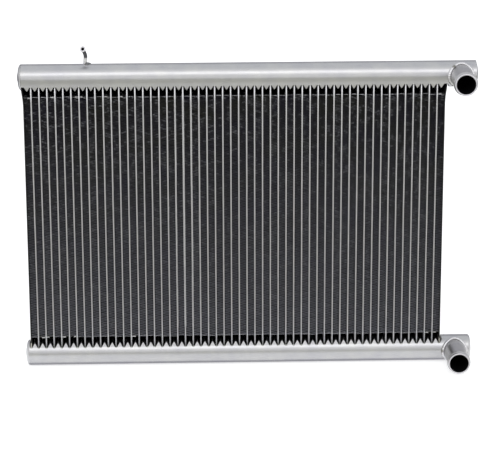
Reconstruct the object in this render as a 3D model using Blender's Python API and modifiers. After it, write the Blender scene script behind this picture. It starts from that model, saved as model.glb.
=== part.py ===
# Aluminium engine radiator: 52 flat tubes with folded fins between two round tube tanks.
# Metres, +Z up, +X towards the hose necks, -Y towards the front that the necks point to.
# The origin is on the lower tank's lowest line, at the middle of the core.

import math

import bmesh
import bpy
from mathutils import Vector

# Core: upright flat tubes with one folded fin strip on each side of every tube
TUBE_COUNT = 52
TUBE_PITCH = 0.010
TUBE_THICKNESS = 0.002
TUBE_WIDTH = 0.026
TUBE_WALL = 0.0004
TUBE_NOSE = 0.0008
FIN_TO_TANK = 0.0082
FIN_LEGS = 32
FIN_THICKNESS = 0.0003
FIN_SETBACK = 0.001
FIN_BITE = 0.00012
PLATE_THICKNESS = 0.0012

# Tanks: round tubes with a row of pressed valleys, one for each tube or plate end
TANK_SPACING = 0.366
TANK_WALL = 0.0015
TUBE_EDGE_ROOM = 0.002
TOOTH_DROP = 0.001
TOOTH_LEAN = 0.15
TOOTH_LINING_LEAN = 0.42
VALLEY_RUN = 0.0025
LEFT_END = 0.00455
RIGHT_END = 0.0391
PRESSED_CAP_CORNER = 0.0035
WELDED_CAP_CORNER = 0.0012
CAP_DOME = 0.001
CAP_THICKNESS = 0.0015
TUBE_REACH = 0.001

# Hose necks, turned with a bead behind the mouth and welded to the tanks' fronts
NECK_STEP_IN = 0.0025
NECK_WALL = 0.002
NECK_LENGTH = 0.048
NECK_INSET = 0.022
NECK_RIM_CHAMFER = 0.0005
BEAD_RISE = 0.0012
BEAD_WIDTH = 0.004
BEAD_FLANK = 0.0012
BEAD_SETBACK = 0.004
WELD_RADIUS = 0.0018

# Vent pipe on the upper tank, which leans forward to a flared mouth
VENT_INSET = 0.0855
VENT_RADIUS = 0.0023
VENT_WALL = 0.0006
VENT_RISE = 0.0105
VENT_RISE_LEAN = 0.001
VENT_ARM = 0.018
VENT_ARM_TILT = math.radians(45)
VENT_ARM_LEAN = -0.0029
VENT_BEND_RADIUS = 0.005
VENT_FLARE = 1.7
VENT_FLARE_LENGTH = 0.0045
VENT_WELD_RADIUS = 0.0042

# Clearances where one piece is seated in or on another
SEAT_GAP = 0.0003
SLOT_GAP = 0.00025

# Facets of the round pieces
SIDE_STEPS = 5
CROWN_POINTS = 3
CAP_STEPS = 3
NECK_SIDES = 20
WELD_POINTS = 20
VENT_BEND_STEPS = 4

# Sizes and places that follow from those above
INNER_RADIUS = TUBE_WIDTH / 2 + TUBE_EDGE_ROOM
TANK_RADIUS = INNER_RADIUS + TANK_WALL
LOWER_AXIS_Z = TANK_RADIUS
UPPER_AXIS_Z = LOWER_AXIS_Z + TANK_SPACING
CORE_CENTRE_Z = LOWER_AXIS_Z + TANK_SPACING / 2
FIN_HEIGHT = TUBE_PITCH - TUBE_THICKNESS
FIRST_TUBE_X = -TUBE_PITCH * (TUBE_COUNT - 1) / 2
PLATE_X = -FIRST_TUBE_X + TUBE_THICKNESS / 2 + FIN_HEIGHT + PLATE_THICKNESS / 2
SLOT_HALF_WIDTH = TUBE_WIDTH / 2 + SLOT_GAP
SEAT_HEIGHT = math.sqrt(TANK_RADIUS**2 - SLOT_HALF_WIDTH**2)
INNER_SEAT_HEIGHT = math.sqrt(INNER_RADIUS**2 - SLOT_HALF_WIDTH**2)
TOOTH_HEIGHT = TANK_RADIUS - TOOTH_DROP
LAST_SLOT_EDGE = PLATE_X + PLATE_THICKNESS / 2 + SLOT_GAP
TANK_LEFT_X = -(LAST_SLOT_EDGE + VALLEY_RUN + LEFT_END)
TANK_RIGHT_X = LAST_SLOT_EDGE + VALLEY_RUN + RIGHT_END
TUBE_LENGTH = TANK_SPACING - 2 * (INNER_SEAT_HEIGHT - TUBE_REACH)
FIN_STRIP_LENGTH = TANK_SPACING - 2 * (TANK_RADIUS + FIN_TO_TANK)
NECK_X = TANK_RIGHT_X - NECK_INSET
NECK_MOUTH = TANK_RADIUS + NECK_LENGTH
NECK_RADIUS = TANK_RADIUS - NECK_STEP_IN
NECK_BORE = NECK_RADIUS - NECK_WALL
SADDLE_CUT_LENGTH = 6 * NECK_RADIUS
VENT_BORE = VENT_RADIUS - VENT_WALL
VENT_X = TANK_LEFT_X + VENT_INSET


def clear_scene():
    for item in list(bpy.data.objects):
        bpy.data.objects.remove(item, do_unlink=True)


def new_collection(name):
    collection = bpy.data.collections.new(name)
    bpy.context.scene.collection.children.link(collection)
    return collection


def metal(name, colour, roughness, metallic=1.0):
    material = bpy.data.materials.new(name)
    material.use_nodes = True
    shader = material.node_tree.nodes["Principled BSDF"]
    shader.inputs["Base Color"].default_value = (*colour, 1.0)
    shader.inputs["Roughness"].default_value = roughness
    shader.inputs["Metallic"].default_value = metallic
    return material


def place(name, mesh, collection, material, location=(0, 0, 0), rotation=(0, 0, 0)):
    piece = bpy.data.objects.new(name, mesh)
    piece.location = location
    piece.rotation_euler = rotation
    if material and not mesh.materials:
        mesh.materials.append(material)
    collection.objects.link(piece)
    return piece


def hide_cutter(cutter):
    cutter.hide_render = True
    cutter.display_type = "WIRE"
    return cutter


def cut_or_join(piece, other, operation):
    modifier = piece.modifiers.new(f"{operation.lower()} {other.name}", "BOOLEAN")
    modifier.operation = operation
    modifier.object = other


def smooth_round_faces(mesh, sharp_above=math.radians(35)):
    mesh.shade_smooth()
    mesh.set_sharp_from_angle(angle=sharp_above)


def curve_to_mesh(curve, name):
    """The curve's evaluated surface as a mesh with its caps welded on."""
    guide = bpy.data.objects.new(name, curve)
    bpy.context.scene.collection.objects.link(guide)
    bpy.context.view_layer.update()
    graph = bpy.context.evaluated_depsgraph_get()
    mesh = bpy.data.meshes.new_from_object(guide.evaluated_get(graph))
    bpy.data.objects.remove(guide, do_unlink=True)
    build = bmesh.new()
    build.from_mesh(mesh)
    bmesh.ops.remove_doubles(build, verts=build.verts, dist=1e-6)
    bmesh.ops.recalc_face_normals(build, faces=build.faces)
    build.to_mesh(mesh)
    build.free()
    mesh.name = name
    return mesh


def sheet_outline(name, outlines, thickness):
    """A flat shape from closed outlines of (x, y) points, as thick as asked along Z."""
    curve = bpy.data.curves.new(name, "CURVE")
    curve.dimensions = "2D"
    curve.fill_mode = "BOTH"
    curve.extrude = thickness / 2
    for outline in outlines:
        spline = curve.splines.new("POLY")
        spline.points.add(len(outline) - 1)
        for point, (x, y) in zip(spline.points, outline):
            point.co = (x, y, 0, 1)
        spline.use_cyclic_u = True
    return curve_to_mesh(curve, name)


def round_bar(name, points, radius, closed=False, radii=None, resolution=2):
    """A tube of filled section along a chain of points."""
    curve = bpy.data.curves.new(name, "CURVE")
    curve.dimensions = "3D"
    curve.bevel_depth = radius
    curve.bevel_resolution = resolution
    curve.use_fill_caps = not closed
    spline = curve.splines.new("POLY")
    spline.points.add(len(points) - 1)
    for index, place_at in enumerate(points):
        spline.points[index].co = (*place_at, 1)
        spline.points[index].radius = radii[index] if radii else 1.0
    spline.use_cyclic_u = closed
    return curve_to_mesh(curve, name)


def cylinder(name, radius, length, sides, collection, location, rotation):
    build = bmesh.new()
    bmesh.ops.create_cone(
        build, cap_ends=True, segments=sides, radius1=radius, radius2=radius, depth=length
    )
    mesh = bpy.data.meshes.new(name)
    build.to_mesh(mesh)
    build.free()
    return hide_cutter(place(name, mesh, collection, None, location, rotation))


def tube_mesh():
    """Hollow flat tube, flat on its sides, with a blunt nose at the front and the back."""
    side, end = TUBE_THICKNESS / 2, TUBE_WIDTH / 2
    flat = side - TUBE_NOSE / 2
    quarter = [(side, end - TUBE_NOSE), (flat, end)]
    half = quarter + [(-x, y) for x, y in reversed(quarter)]
    outer = half + [(-x, -y) for x, y in half]
    bore_x, bore_y = side - TUBE_WALL, end - TUBE_NOSE - TUBE_WALL
    bore = [(bore_x, bore_y), (-bore_x, bore_y), (-bore_x, -bore_y), (bore_x, -bore_y)]
    return sheet_outline("flat_tube", [outer, bore], TUBE_LENGTH)


def fin_mesh(left_bite):
    """Folded strip, drawn from X = 0 at the tube wall that it is brazed to, to the next wall."""
    leg_rise = FIN_STRIP_LENGTH / FIN_LEGS
    slant = math.hypot(FIN_HEIGHT, leg_rise) / leg_rise
    half = FIN_THICKNESS * slant / 2
    low, high = SEAT_GAP + half, FIN_HEIGHT - SEAT_GAP - half
    folds = []
    for fold in range(FIN_LEGS + 1):
        across = high if fold % 2 else low
        if fold in (0, FIN_LEGS):
            across = half - left_bite
        folds.append((across, fold * leg_rise - FIN_STRIP_LENGTH / 2))
    outline = [(x + half, z) for x, z in folds] + [(x - half, z) for x, z in reversed(folds)]
    return sheet_outline("fin_strip", [outline], TUBE_WIDTH - 2 * FIN_SETBACK)


def make_core(parts, helpers, tube_metal, fin_metal):
    """Each tube carries the fin strip on its right, and the first strip stands by itself."""
    upright = (math.radians(90), 0, 0)
    tube = tube_mesh()
    strip = place("fin_strip_on_tube", fin_mesh(FIN_BITE), helpers, fin_metal)
    strip.location = (TUBE_THICKNESS / 2, 0, 0)
    strip.rotation_euler = upright
    hide_cutter(strip)
    brazed = place("brazed_tube", tube, helpers, tube_metal)
    cut_or_join(brazed, strip, "UNION")
    bpy.context.view_layer.update()
    graph = bpy.context.evaluated_depsgraph_get()
    tube_and_fins = bpy.data.meshes.new_from_object(brazed.evaluated_get(graph))
    hide_cutter(brazed)
    for number in range(TUBE_COUNT):
        x = FIRST_TUBE_X + number * TUBE_PITCH
        name = f"tube_{number + 1:02d}_with_fins"
        place(name, tube_and_fins, parts, tube_metal, (x, 0, CORE_CENTRE_Z))
    first_x = PLATE_THICKNESS / 2 - PLATE_X
    loose = fin_mesh(-SEAT_GAP)
    place("fin_strip_left", loose, parts, fin_metal, (first_x, 0, CORE_CENTRE_Z), upright)


def make_side_plates(parts, sheet_metal):
    side, end = PLATE_THICKNESS / 2, TUBE_WIDTH / 2
    corners = [(side, end), (-side, end), (-side, -end), (side, -end)]
    mesh = sheet_outline("side_plate", [corners], TUBE_LENGTH)
    for name, x in (("side_plate_left", -PLATE_X), ("side_plate_right", PLATE_X)):
        place(name, mesh, parts, sheet_metal, (x, 0, CORE_CENTRE_Z))


def section_angles(seat_angle):
    """Angles from the core side, over the far side of the tank, from one seat line to the other."""
    corner = [seat_angle, (seat_angle + math.pi / 2) / 2]
    step = math.pi / 2 / SIDE_STEPS
    far = [math.pi / 2 + step * index for index in range(SIDE_STEPS + 1)]
    half = corner + far
    return half + [2 * math.pi - angle for angle in reversed(half[:-1])]


def tank_section(radius, seat_height, crown_height=None, lean=0.0):
    """Points (y, w) of one cross-section, w towards the core. No crown height leaves it round."""
    seat_angle = math.acos(seat_height / radius)
    parts = CROWN_POINTS + 1
    if crown_height is None:
        step = 2 * seat_angle / (parts + 2)
        turned = [step * (index - parts / 2) for index in range(parts + 1)]
        crown = [(radius * math.sin(angle), radius * math.cos(angle)) for angle in turned]
    else:
        reach = SLOT_HALF_WIDTH - lean * (crown_height - seat_height)
        crown = [(reach * (2 * index / parts - 1), crown_height) for index in range(parts + 1)]
    around = [
        (radius * math.sin(angle), radius * math.cos(angle)) for angle in section_angles(seat_angle)
    ]
    return [crown[-1]] + around + crown[:-1]


def seat_edges():
    """Left and right edge of each slot, for both side plates and all the tubes."""
    centres = [(-PLATE_X, PLATE_THICKNESS)]
    centres += [(FIRST_TUBE_X + n * TUBE_PITCH, TUBE_THICKNESS) for n in range(TUBE_COUNT)]
    centres += [(PLATE_X, PLATE_THICKNESS)]
    return [(x - t / 2 - SLOT_GAP, x + t / 2 + SLOT_GAP) for x, t in centres]


def core_stations(radius, seat_height, tooth_height, lean):
    """Stations along the tank: two at each slot, one at each tooth between slots."""
    edges = seat_edges()
    seat = tank_section(radius, seat_height, seat_height)
    tooth = tank_section(radius, seat_height, tooth_height, lean)
    plain = tank_section(radius, seat_height)
    stations = [(edges[0][0] - VALLEY_RUN, plain)]
    for index, (left, right) in enumerate(edges):
        stations += [(left, seat), (right, seat)]
        if index + 1 < len(edges):
            stations.append(((right + edges[index + 1][0]) / 2, tooth))
    stations.append((edges[-1][1] + VALLEY_RUN, plain))
    return stations


def cap_rings(end_x, inward, section, corner):
    """Rings of a domed end cap from where its corner starts to where its dome starts."""
    rings = []
    for step in range(1, CAP_STEPS + 1):
        angle = math.pi / 2 * step / CAP_STEPS
        shrink = 1 - corner * (1 - math.cos(angle)) / TANK_RADIUS
        x = end_x + inward * (CAP_DOME + corner * (1 - math.sin(angle)))
        rings.append((x, [(y * shrink, w * shrink) for y, w in section]))
    return rings


def loft(build, stations, skipped):
    """Skins a chain of sections and returns their rings of vertices."""
    rings = []
    for x, section in stations:
        rings.append([build.verts.new((x, y, w)) for y, w in section])
    count = len(rings[0])
    for index in range(len(rings) - 1):
        for side in range(count):
            if index in skipped and side >= count - CROWN_POINTS - 1:
                continue
            after = (side + 1) % count
            first, second = rings[index], rings[index + 1]
            build.faces.new((first[side], first[after], second[after], second[side]))
    return rings


def close_end(build, ring, x):
    tip = build.verts.new((x, 0, 0))
    for side in range(len(ring)):
        build.faces.new((ring[side], ring[(side + 1) % len(ring)], tip))


def wall_slot(build, outer, inner):
    """The four walls of one slot, from the outer skin's opening to the inner skin's."""
    count = len(outer[0])
    crown = [*range(count - CROWN_POINTS - 1, count), 0]
    for start, after in zip(crown, crown[1:]):
        for end in (0, 1):
            build.faces.new(
                (outer[end][start], outer[end][after], inner[end][after], inner[end][start])
            )
    for side in (crown[0], crown[-1]):
        build.faces.new((outer[0][side], outer[1][side], inner[1][side], inner[0][side]))


def tank_mesh(right_corner):
    """Toothed tube with domed caps on its ends, its core side towards +Z, along X."""
    drop = SEAT_HEIGHT - INNER_SEAT_HEIGHT
    skin = core_stations(TANK_RADIUS, SEAT_HEIGHT, TOOTH_HEIGHT, TOOTH_LEAN)
    lining = core_stations(
        INNER_RADIUS, INNER_SEAT_HEIGHT, TOOTH_HEIGHT - drop, TOOTH_LINING_LEAN
    )
    ends = ((TANK_LEFT_X, 1, PRESSED_CAP_CORNER), (TANK_RIGHT_X, -1, right_corner))
    for end_x, inward, corner in ends:
        plain_skin, plain_lining = skin[-1][1], lining[-1][1]
        bent = end_x + inward * (CAP_DOME + corner)
        bent_inside = end_x + inward * (CAP_DOME + max(corner, CAP_THICKNESS))
        flat = end_x + inward * (CAP_DOME + CAP_THICKNESS)
        shrink = 1 - corner / TANK_RADIUS
        small = [(y * shrink, w * shrink) for y, w in plain_lining]
        skin_end = [(bent, plain_skin), *cap_rings(end_x, inward, plain_skin, corner)]
        lining_end = [(bent_inside, plain_lining), (flat, small)]
        skin = skin_end[::-1] + skin if inward > 0 else skin + skin_end
        lining = lining_end[::-1] + lining if inward > 0 else lining + lining_end
    first_seat = {"skin": CAP_STEPS + 2, "lining": 3}
    seats = TUBE_COUNT + 2
    build = bmesh.new()
    outer = loft(build, skin, {first_seat["skin"] + 3 * n for n in range(seats)})
    inner = loft(build, lining, {first_seat["lining"] + 3 * n for n in range(seats)})
    close_end(build, outer[0], TANK_LEFT_X)
    close_end(build, outer[-1], TANK_RIGHT_X)
    build.faces.new(inner[0])
    build.faces.new(inner[-1])
    for n in range(seats):
        o, i = first_seat["skin"] + 3 * n, first_seat["lining"] + 3 * n
        wall_slot(build, outer[o : o + 2], inner[i : i + 2])
    bmesh.ops.remove_doubles(build, verts=build.verts, dist=1e-6)
    bmesh.ops.dissolve_degenerate(build, edges=build.edges, dist=1e-7)
    bmesh.ops.recalc_face_normals(build, faces=build.faces)
    bmesh.ops.dissolve_limit(
        build, angle_limit=math.radians(0.05), verts=build.verts, edges=build.edges
    )
    mesh = bpy.data.meshes.new("toothed_tank")
    build.to_mesh(mesh)
    build.free()
    smooth_round_faces(mesh)
    return mesh


def make_tank(name, mesh, axis_z, core_above, parts, helpers, metal_used):
    turn = 0 if core_above else math.pi
    tank = place(name, mesh, parts, metal_used, (0, 0, axis_z), (turn, 0, 0))
    hole = cylinder(
        f"{name}_neck_hole", NECK_BORE, NECK_MOUTH, NECK_SIDES, helpers,
        (NECK_X, -NECK_MOUTH / 2, axis_z), (math.radians(90), 0, 0),
    )
    cut_or_join(tank, hole, "DIFFERENCE")
    return tank


def neck_profile():
    """Closed outline (r, z) of the neck's wall, from the rim down the outside and up the bore."""
    bead_top = NECK_MOUTH - BEAD_SETBACK
    bead_low = bead_top - BEAD_WIDTH
    return [
        (NECK_BORE, NECK_MOUTH),
        (NECK_RADIUS - NECK_RIM_CHAMFER, NECK_MOUTH),
        (NECK_RADIUS, NECK_MOUTH - NECK_RIM_CHAMFER),
        (NECK_RADIUS, bead_top),
        (NECK_RADIUS + BEAD_RISE, bead_top - BEAD_FLANK),
        (NECK_RADIUS + BEAD_RISE, bead_low + BEAD_FLANK),
        (NECK_RADIUS, bead_low),
        (NECK_RADIUS, 0),
        (NECK_BORE, 0),
    ]


def make_neck(name, axis_z, parts, helpers, metal_used):
    """Turned pipe coped to the tank's front, with the weld bead along the cope."""
    profile = bpy.data.meshes.new(name)
    points = [(r, 0, z) for r, z in neck_profile()]
    edges = [(index, (index + 1) % len(points)) for index in range(len(points))]
    profile.from_pydata(points, edges, [])
    forward = (math.radians(90), 0, 0)
    neck = place(name, profile, parts, metal_used, (NECK_X, 0, axis_z), forward)
    turn = neck.modifiers.new("turned", "SCREW")
    turn.axis = "Z"
    turn.steps = NECK_SIDES
    turn.render_steps = NECK_SIDES
    turn.use_merge_vertices = True
    turn.merge_threshold = 0.00001
    turn.use_smooth_shade = True
    seam = []
    for index in range(WELD_POINTS):
        angle = 2 * math.pi * index / WELD_POINTS
        across, up = NECK_RADIUS * math.cos(angle), NECK_RADIUS * math.sin(angle)
        depth = math.sqrt(TANK_RADIUS**2 - up**2)
        seam.append((NECK_X + across, -depth, axis_z + up))
    weld = round_bar(f"{name}_weld", seam, WELD_RADIUS, closed=True, resolution=1)
    bead = hide_cutter(place(f"{name}_weld", weld, helpers, metal_used))
    cut_or_join(neck, bead, "UNION")
    saddle = cylinder(
        f"{name}_saddle", TANK_RADIUS + SEAT_GAP, SADDLE_CUT_LENGTH, 4 * SIDE_STEPS, helpers,
        (NECK_X, 0, axis_z), (0, math.radians(90), 0),
    )
    cut_or_join(neck, saddle, "DIFFERENCE")
    return neck


def vent_path():
    """Centre line of the vent pipe: up from the tank, round a bend, forward and up to the mouth."""
    top = UPPER_AXIS_Z + TANK_RADIUS
    bend = Vector((VENT_X + VENT_RISE_LEAN, 0, top + VENT_RISE))
    arm = Vector((
        VENT_ARM_LEAN,
        -VENT_ARM * math.cos(VENT_ARM_TILT),
        VENT_ARM * math.sin(VENT_ARM_TILT),
    ))
    way = arm.normalized()
    foot = Vector((VENT_X, 0, UPPER_AXIS_Z + INNER_RADIUS))
    start = bend - (bend - foot).normalized() * VENT_BEND_RADIUS
    finish = bend + way * VENT_BEND_RADIUS
    points = [foot, start]
    for step in range(1, VENT_BEND_STEPS):
        t = step / VENT_BEND_STEPS
        points.append(start.lerp(bend, t).lerp(bend.lerp(finish, t), t))
    points += [finish, bend + arm - way * VENT_FLARE_LENGTH, bend + arm]
    return points, way


def make_vent(tank, parts, helpers, metal_used):
    points, way = vent_path()
    flare = [1.0] * (len(points) - 1) + [VENT_FLARE]
    pipe = round_bar("vent_pipe", points, VENT_RADIUS, radii=flare)
    vent = place("vent_pipe", pipe, parts, metal_used)
    weld = bmesh.new()
    bmesh.ops.create_uvsphere(weld, u_segments=12, v_segments=6, radius=VENT_WELD_RADIUS)
    weld_mesh = bpy.data.meshes.new("vent_weld")
    weld.to_mesh(weld_mesh)
    weld.free()
    foot = (VENT_X, 0, UPPER_AXIS_Z + TANK_RADIUS - VENT_RADIUS)
    blob = hide_cutter(place("vent_weld", weld_mesh, helpers, metal_used, foot))
    cut_or_join(vent, blob, "UNION")
    saddle = cylinder(
        "vent_saddle", TANK_RADIUS + SEAT_GAP, SADDLE_CUT_LENGTH, 8 * SIDE_STEPS + 2, helpers,
        (VENT_X, 0, UPPER_AXIS_Z), (0, math.radians(90), 0),
    )
    cut_or_join(vent, saddle, "DIFFERENCE")
    deep = points[0] - Vector((0, 0, TANK_WALL))
    past_mouth = points[-1] + way * VENT_RADIUS
    bore_line = [deep, *points[1:-1], past_mouth]
    bore = round_bar("vent_bore", bore_line, VENT_BORE, resolution=1)
    drill = hide_cutter(place("vent_bore", bore, helpers, None))
    cut_or_join(vent, drill, "DIFFERENCE")
    cut_or_join(tank, drill, "DIFFERENCE")


def build_radiator():
    clear_scene()
    parts = new_collection("engine_radiator")
    helpers = new_collection("cutters")
    helpers.hide_render = True
    bare = metal("bare_aluminium", (0.72, 0.72, 0.72), 0.35)
    flat_tube = metal("tube_aluminium", (0.62, 0.62, 0.63), 0.4)
    folded = metal("dark_fin_aluminium", (0.05, 0.05, 0.055), 0.6)
    sheet = metal("dark_sheet_aluminium", (0.07, 0.07, 0.07), 0.55)
    make_core(parts, helpers, flat_tube, folded)
    make_side_plates(parts, sheet)
    pressed, welded = tank_mesh(PRESSED_CAP_CORNER), tank_mesh(WELDED_CAP_CORNER)
    make_tank("lower_tank", pressed, LOWER_AXIS_Z, True, parts, helpers, bare)
    upper = make_tank("upper_tank", welded, UPPER_AXIS_Z, False, parts, helpers, bare)
    make_neck("lower_neck", LOWER_AXIS_Z, parts, helpers, bare)
    make_neck("upper_neck", UPPER_AXIS_Z, parts, helpers, bare)
    make_vent(upper, parts, helpers, bare)


build_radiator()
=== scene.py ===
import math
import random

import bpy
from mathutils import Matrix, Vector


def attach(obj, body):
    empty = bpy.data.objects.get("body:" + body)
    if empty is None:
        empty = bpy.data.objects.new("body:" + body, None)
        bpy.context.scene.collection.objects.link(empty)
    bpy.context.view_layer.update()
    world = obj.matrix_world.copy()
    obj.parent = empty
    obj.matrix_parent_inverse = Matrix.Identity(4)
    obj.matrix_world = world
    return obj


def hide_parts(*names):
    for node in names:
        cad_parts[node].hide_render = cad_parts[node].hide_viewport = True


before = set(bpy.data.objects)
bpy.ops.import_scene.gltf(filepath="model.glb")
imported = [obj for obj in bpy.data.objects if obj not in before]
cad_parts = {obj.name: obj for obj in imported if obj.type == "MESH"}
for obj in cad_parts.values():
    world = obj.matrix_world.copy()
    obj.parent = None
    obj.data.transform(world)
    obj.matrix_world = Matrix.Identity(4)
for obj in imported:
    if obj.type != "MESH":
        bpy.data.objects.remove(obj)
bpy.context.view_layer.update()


# Camera: the photograph looks slightly down on the radiator's front from nearly 3 m away.
# Its place and lens were fitted to the 52 tubes and to the tanks' outlines.
CAMERA_PLACE = (-0.0634, -2.8012, 1.0353)
CAMERA_PAN = -0.0288
CAMERA_TILT = math.pi / 2 - 0.3
CAMERA_ROLL = -0.0029
CAMERA_LENS = 165.4

camera_data = bpy.data.cameras.new("camera")
camera_data.lens = CAMERA_LENS
camera_data.sensor_width = 36
camera_data.sensor_fit = "HORIZONTAL"
camera = bpy.data.objects.new("camera", camera_data)
camera.matrix_world = (
    Matrix.Translation(CAMERA_PLACE)
    @ Matrix.Rotation(CAMERA_PAN, 4, "Z")
    @ Matrix.Rotation(CAMERA_TILT, 4, "X")
    @ Matrix.Rotation(CAMERA_ROLL, 4, "Z")
)
bpy.context.scene.collection.objects.link(camera)
bpy.context.scene.camera = camera
bpy.context.scene.view_settings.view_transform = "Standard"


# Studio: a pale matt floor under the radiator, and white all round it.
# The floor adds a white of its own for the eye and for gloss, and keeps a soft shadow.
FLOOR_HALF = 9.0
FLOOR_PAPER = "#D9D9D9"
FLOOR_OWN_WHITE = 0.62
ROOM_LIGHT = 0.95


def paint(hex_code):
    """Linear colour of an sRGB hex code."""
    parts = [int(hex_code[index:index + 2], 16) / 255 for index in (1, 3, 5)]
    linear = [c / 12.92 if c <= 0.04045 else ((c + 0.055) / 1.055) ** 2.4 for c in parts]
    return (*linear, 1.0)


def add_node(tree, kind, inputs=None, **settings):
    """Adds a node: settings are its own options, inputs are values or sockets to link."""
    made = tree.nodes.new(kind)
    for name, value in settings.items():
        setattr(made, name, value)
    for name, value in (inputs or {}).items():
        if isinstance(value, bpy.types.NodeSocket):
            tree.links.new(value, made.inputs[name])
        else:
            made.inputs[name].default_value = value
    return made


def piece_from(name, points, faces, materials, smooth=True, picks=None):
    """A mesh object in the row frame, with one of its materials picked for each face."""
    mesh = bpy.data.meshes.new(name)
    mesh.from_pydata(points, [], faces)
    for material in materials:
        mesh.materials.append(material)
    mesh.polygons.foreach_set("use_smooth", [smooth] * len(faces))
    if picks:
        mesh.polygons.foreach_set("material_index", picks)
    mesh.validate()
    piece = bpy.data.objects.new(name, mesh)
    bpy.context.scene.collection.objects.link(piece)
    return piece


def flat_card(name, wide, tall, material):
    """A rectangle that reaches wide and tall from its middle."""
    corners = [(-wide, -tall, 0), (wide, -tall, 0), (wide, tall, 0), (-wide, tall, 0)]
    return piece_from(name, corners, [(0, 1, 2, 3)], [material], smooth=False)


def empty_tree(owner):
    """The node tree of a material or a world, cleared."""
    owner.use_nodes = True
    owner.node_tree.nodes.clear()
    return owner.node_tree


def shown_ray(tree):
    """1 for the rays that show a surface: the eye's own, and those of gloss and glass."""
    ray = add_node(tree, "ShaderNodeLightPath")
    seen = add_node(tree, "ShaderNodeMath", {
        0: ray.outputs["Is Camera Ray"], 1: ray.outputs["Is Glossy Ray"],
    }, operation="MAXIMUM")
    shown = add_node(tree, "ShaderNodeMath", {
        0: seen.outputs[0], 1: ray.outputs["Is Transmission Ray"],
    }, operation="MAXIMUM")
    return shown.outputs[0]


paper = bpy.data.materials.new("matt_white_paper")
tree = empty_tree(paper)
strength = add_node(tree, "ShaderNodeMath", {
    0: shown_ray(tree), 1: FLOOR_OWN_WHITE,
}, operation="MULTIPLY")
matt = add_node(tree, "ShaderNodeBsdfDiffuse", {"Color": paint(FLOOR_PAPER)})
glow = add_node(tree, "ShaderNodeEmission", {"Strength": strength.outputs[0]})
both = add_node(tree, "ShaderNodeAddShader", {0: matt.outputs[0], 1: glow.outputs[0]})
add_node(tree, "ShaderNodeOutputMaterial", {"Surface": both.outputs[0]})

floor = flat_card("studio_floor", FLOOR_HALF, FLOOR_HALF, paper)

world = bpy.data.worlds.new("white_room")
bpy.context.scene.world = world
tree = empty_tree(world)
room = add_node(tree, "ShaderNodeBackground", {
    "Color": paint("#F4F6F8"), "Strength": ROOM_LIGHT,
})
white = add_node(tree, "ShaderNodeBackground", {"Color": paint("#FFFFFF"), "Strength": 1.0})
mixed = add_node(tree, "ShaderNodeMixShader", {
    0: shown_ray(tree), 1: room.outputs[0], 2: white.outputs[0],
})
add_node(tree, "ShaderNodeOutputWorld", {"Surface": mixed.outputs[0]})


# Lights and cards: one long soft box high in front gives the bright line along both tanks.
# Grey cards out of view, overhead, behind and on the floor, darken what the metal mirrors.
# The two narrow ones under the lower tank give it the dark line of its own shadow.
SOFT_BOX = {
    "place": (0.0, -2.5, 2.35), "aim": (0.0, 0.0, 0.25), "size": (4.2, 1.25), "power": 17.0,
}
# name, colour, strength, place, half size and turn in degrees
CARDS = [
    ("ceiling_card", "#C8CACC", 0.84, (0.0, 0.75, 2.3), (4.0, 1.45), (0, 0, 0)),
    ("back_card", "#BEBEC4", 0.46, (0.0, 2.6, 1.6), (4.0, 1.7), (70, 0, 0)),
    ("floor_card", "#C6C6BE", 0.62, (0.0, -0.70, 0.003), (4.0, 0.40), (0, 0, 0)),
    ("near_floor_card", "#C8C8C2", 0.78, (0.0, -0.188, 0.003), (4.0, 0.112), (0, 0, 0)),
    ("far_floor_card", "#BDBDB6", 0.50, (0.0, -1.30, 0.003), (4.0, 0.20), (0, 0, 0)),
    ("table_edge_card", "#B8B8B0", 0.46, (0.0, -1.50, 0.08), (4.0, 0.08), (90, 0, 0)),
    ("back_floor_card", "#B0B0B6", 0.28, (0.0, 2.2, 0.003), (4.0, 1.9), (0, 0, 0)),
    ("contact_card", "#7A7A82", 0.17, (0.017, -0.0034, 0.0004), (0.288, 0.0032), (0, 0, 0)),
    ("half_shadow_card", "#A8A8AE", 0.54, (0.017, -0.0095, 0.0004), (0.288, 0.0029), (0, 0, 0)),
]

lamp = bpy.data.lights.new("soft_box", "AREA")
lamp.shape = "RECTANGLE"
lamp.size, lamp.size_y = SOFT_BOX["size"]
lamp.energy = SOFT_BOX["power"]
soft_box = bpy.data.objects.new("soft_box", lamp)
soft_box.location = SOFT_BOX["place"]
aim = Vector(SOFT_BOX["aim"]) - soft_box.location
soft_box.rotation_euler = aim.to_track_quat("-Z", "Y").to_euler()
bpy.context.scene.collection.objects.link(soft_box)

for card_name, card_colour, card_strength, card_place, card_half, card_turn in CARDS:
    card_paint = bpy.data.materials.new(card_name)
    tree = empty_tree(card_paint)
    glow = add_node(tree, "ShaderNodeEmission", {
        "Color": paint(card_colour), "Strength": card_strength / paint(card_colour)[0],
    })
    add_node(tree, "ShaderNodeOutputMaterial", {"Surface": glow.outputs[0]})
    card = flat_card(card_name, *card_half, card_paint)
    card.location = card_place
    card.rotation_euler = [math.radians(angle) for angle in card_turn]
    card.visible_camera = False
    card.visible_diffuse = False
    card.visible_shadow = False


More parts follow.
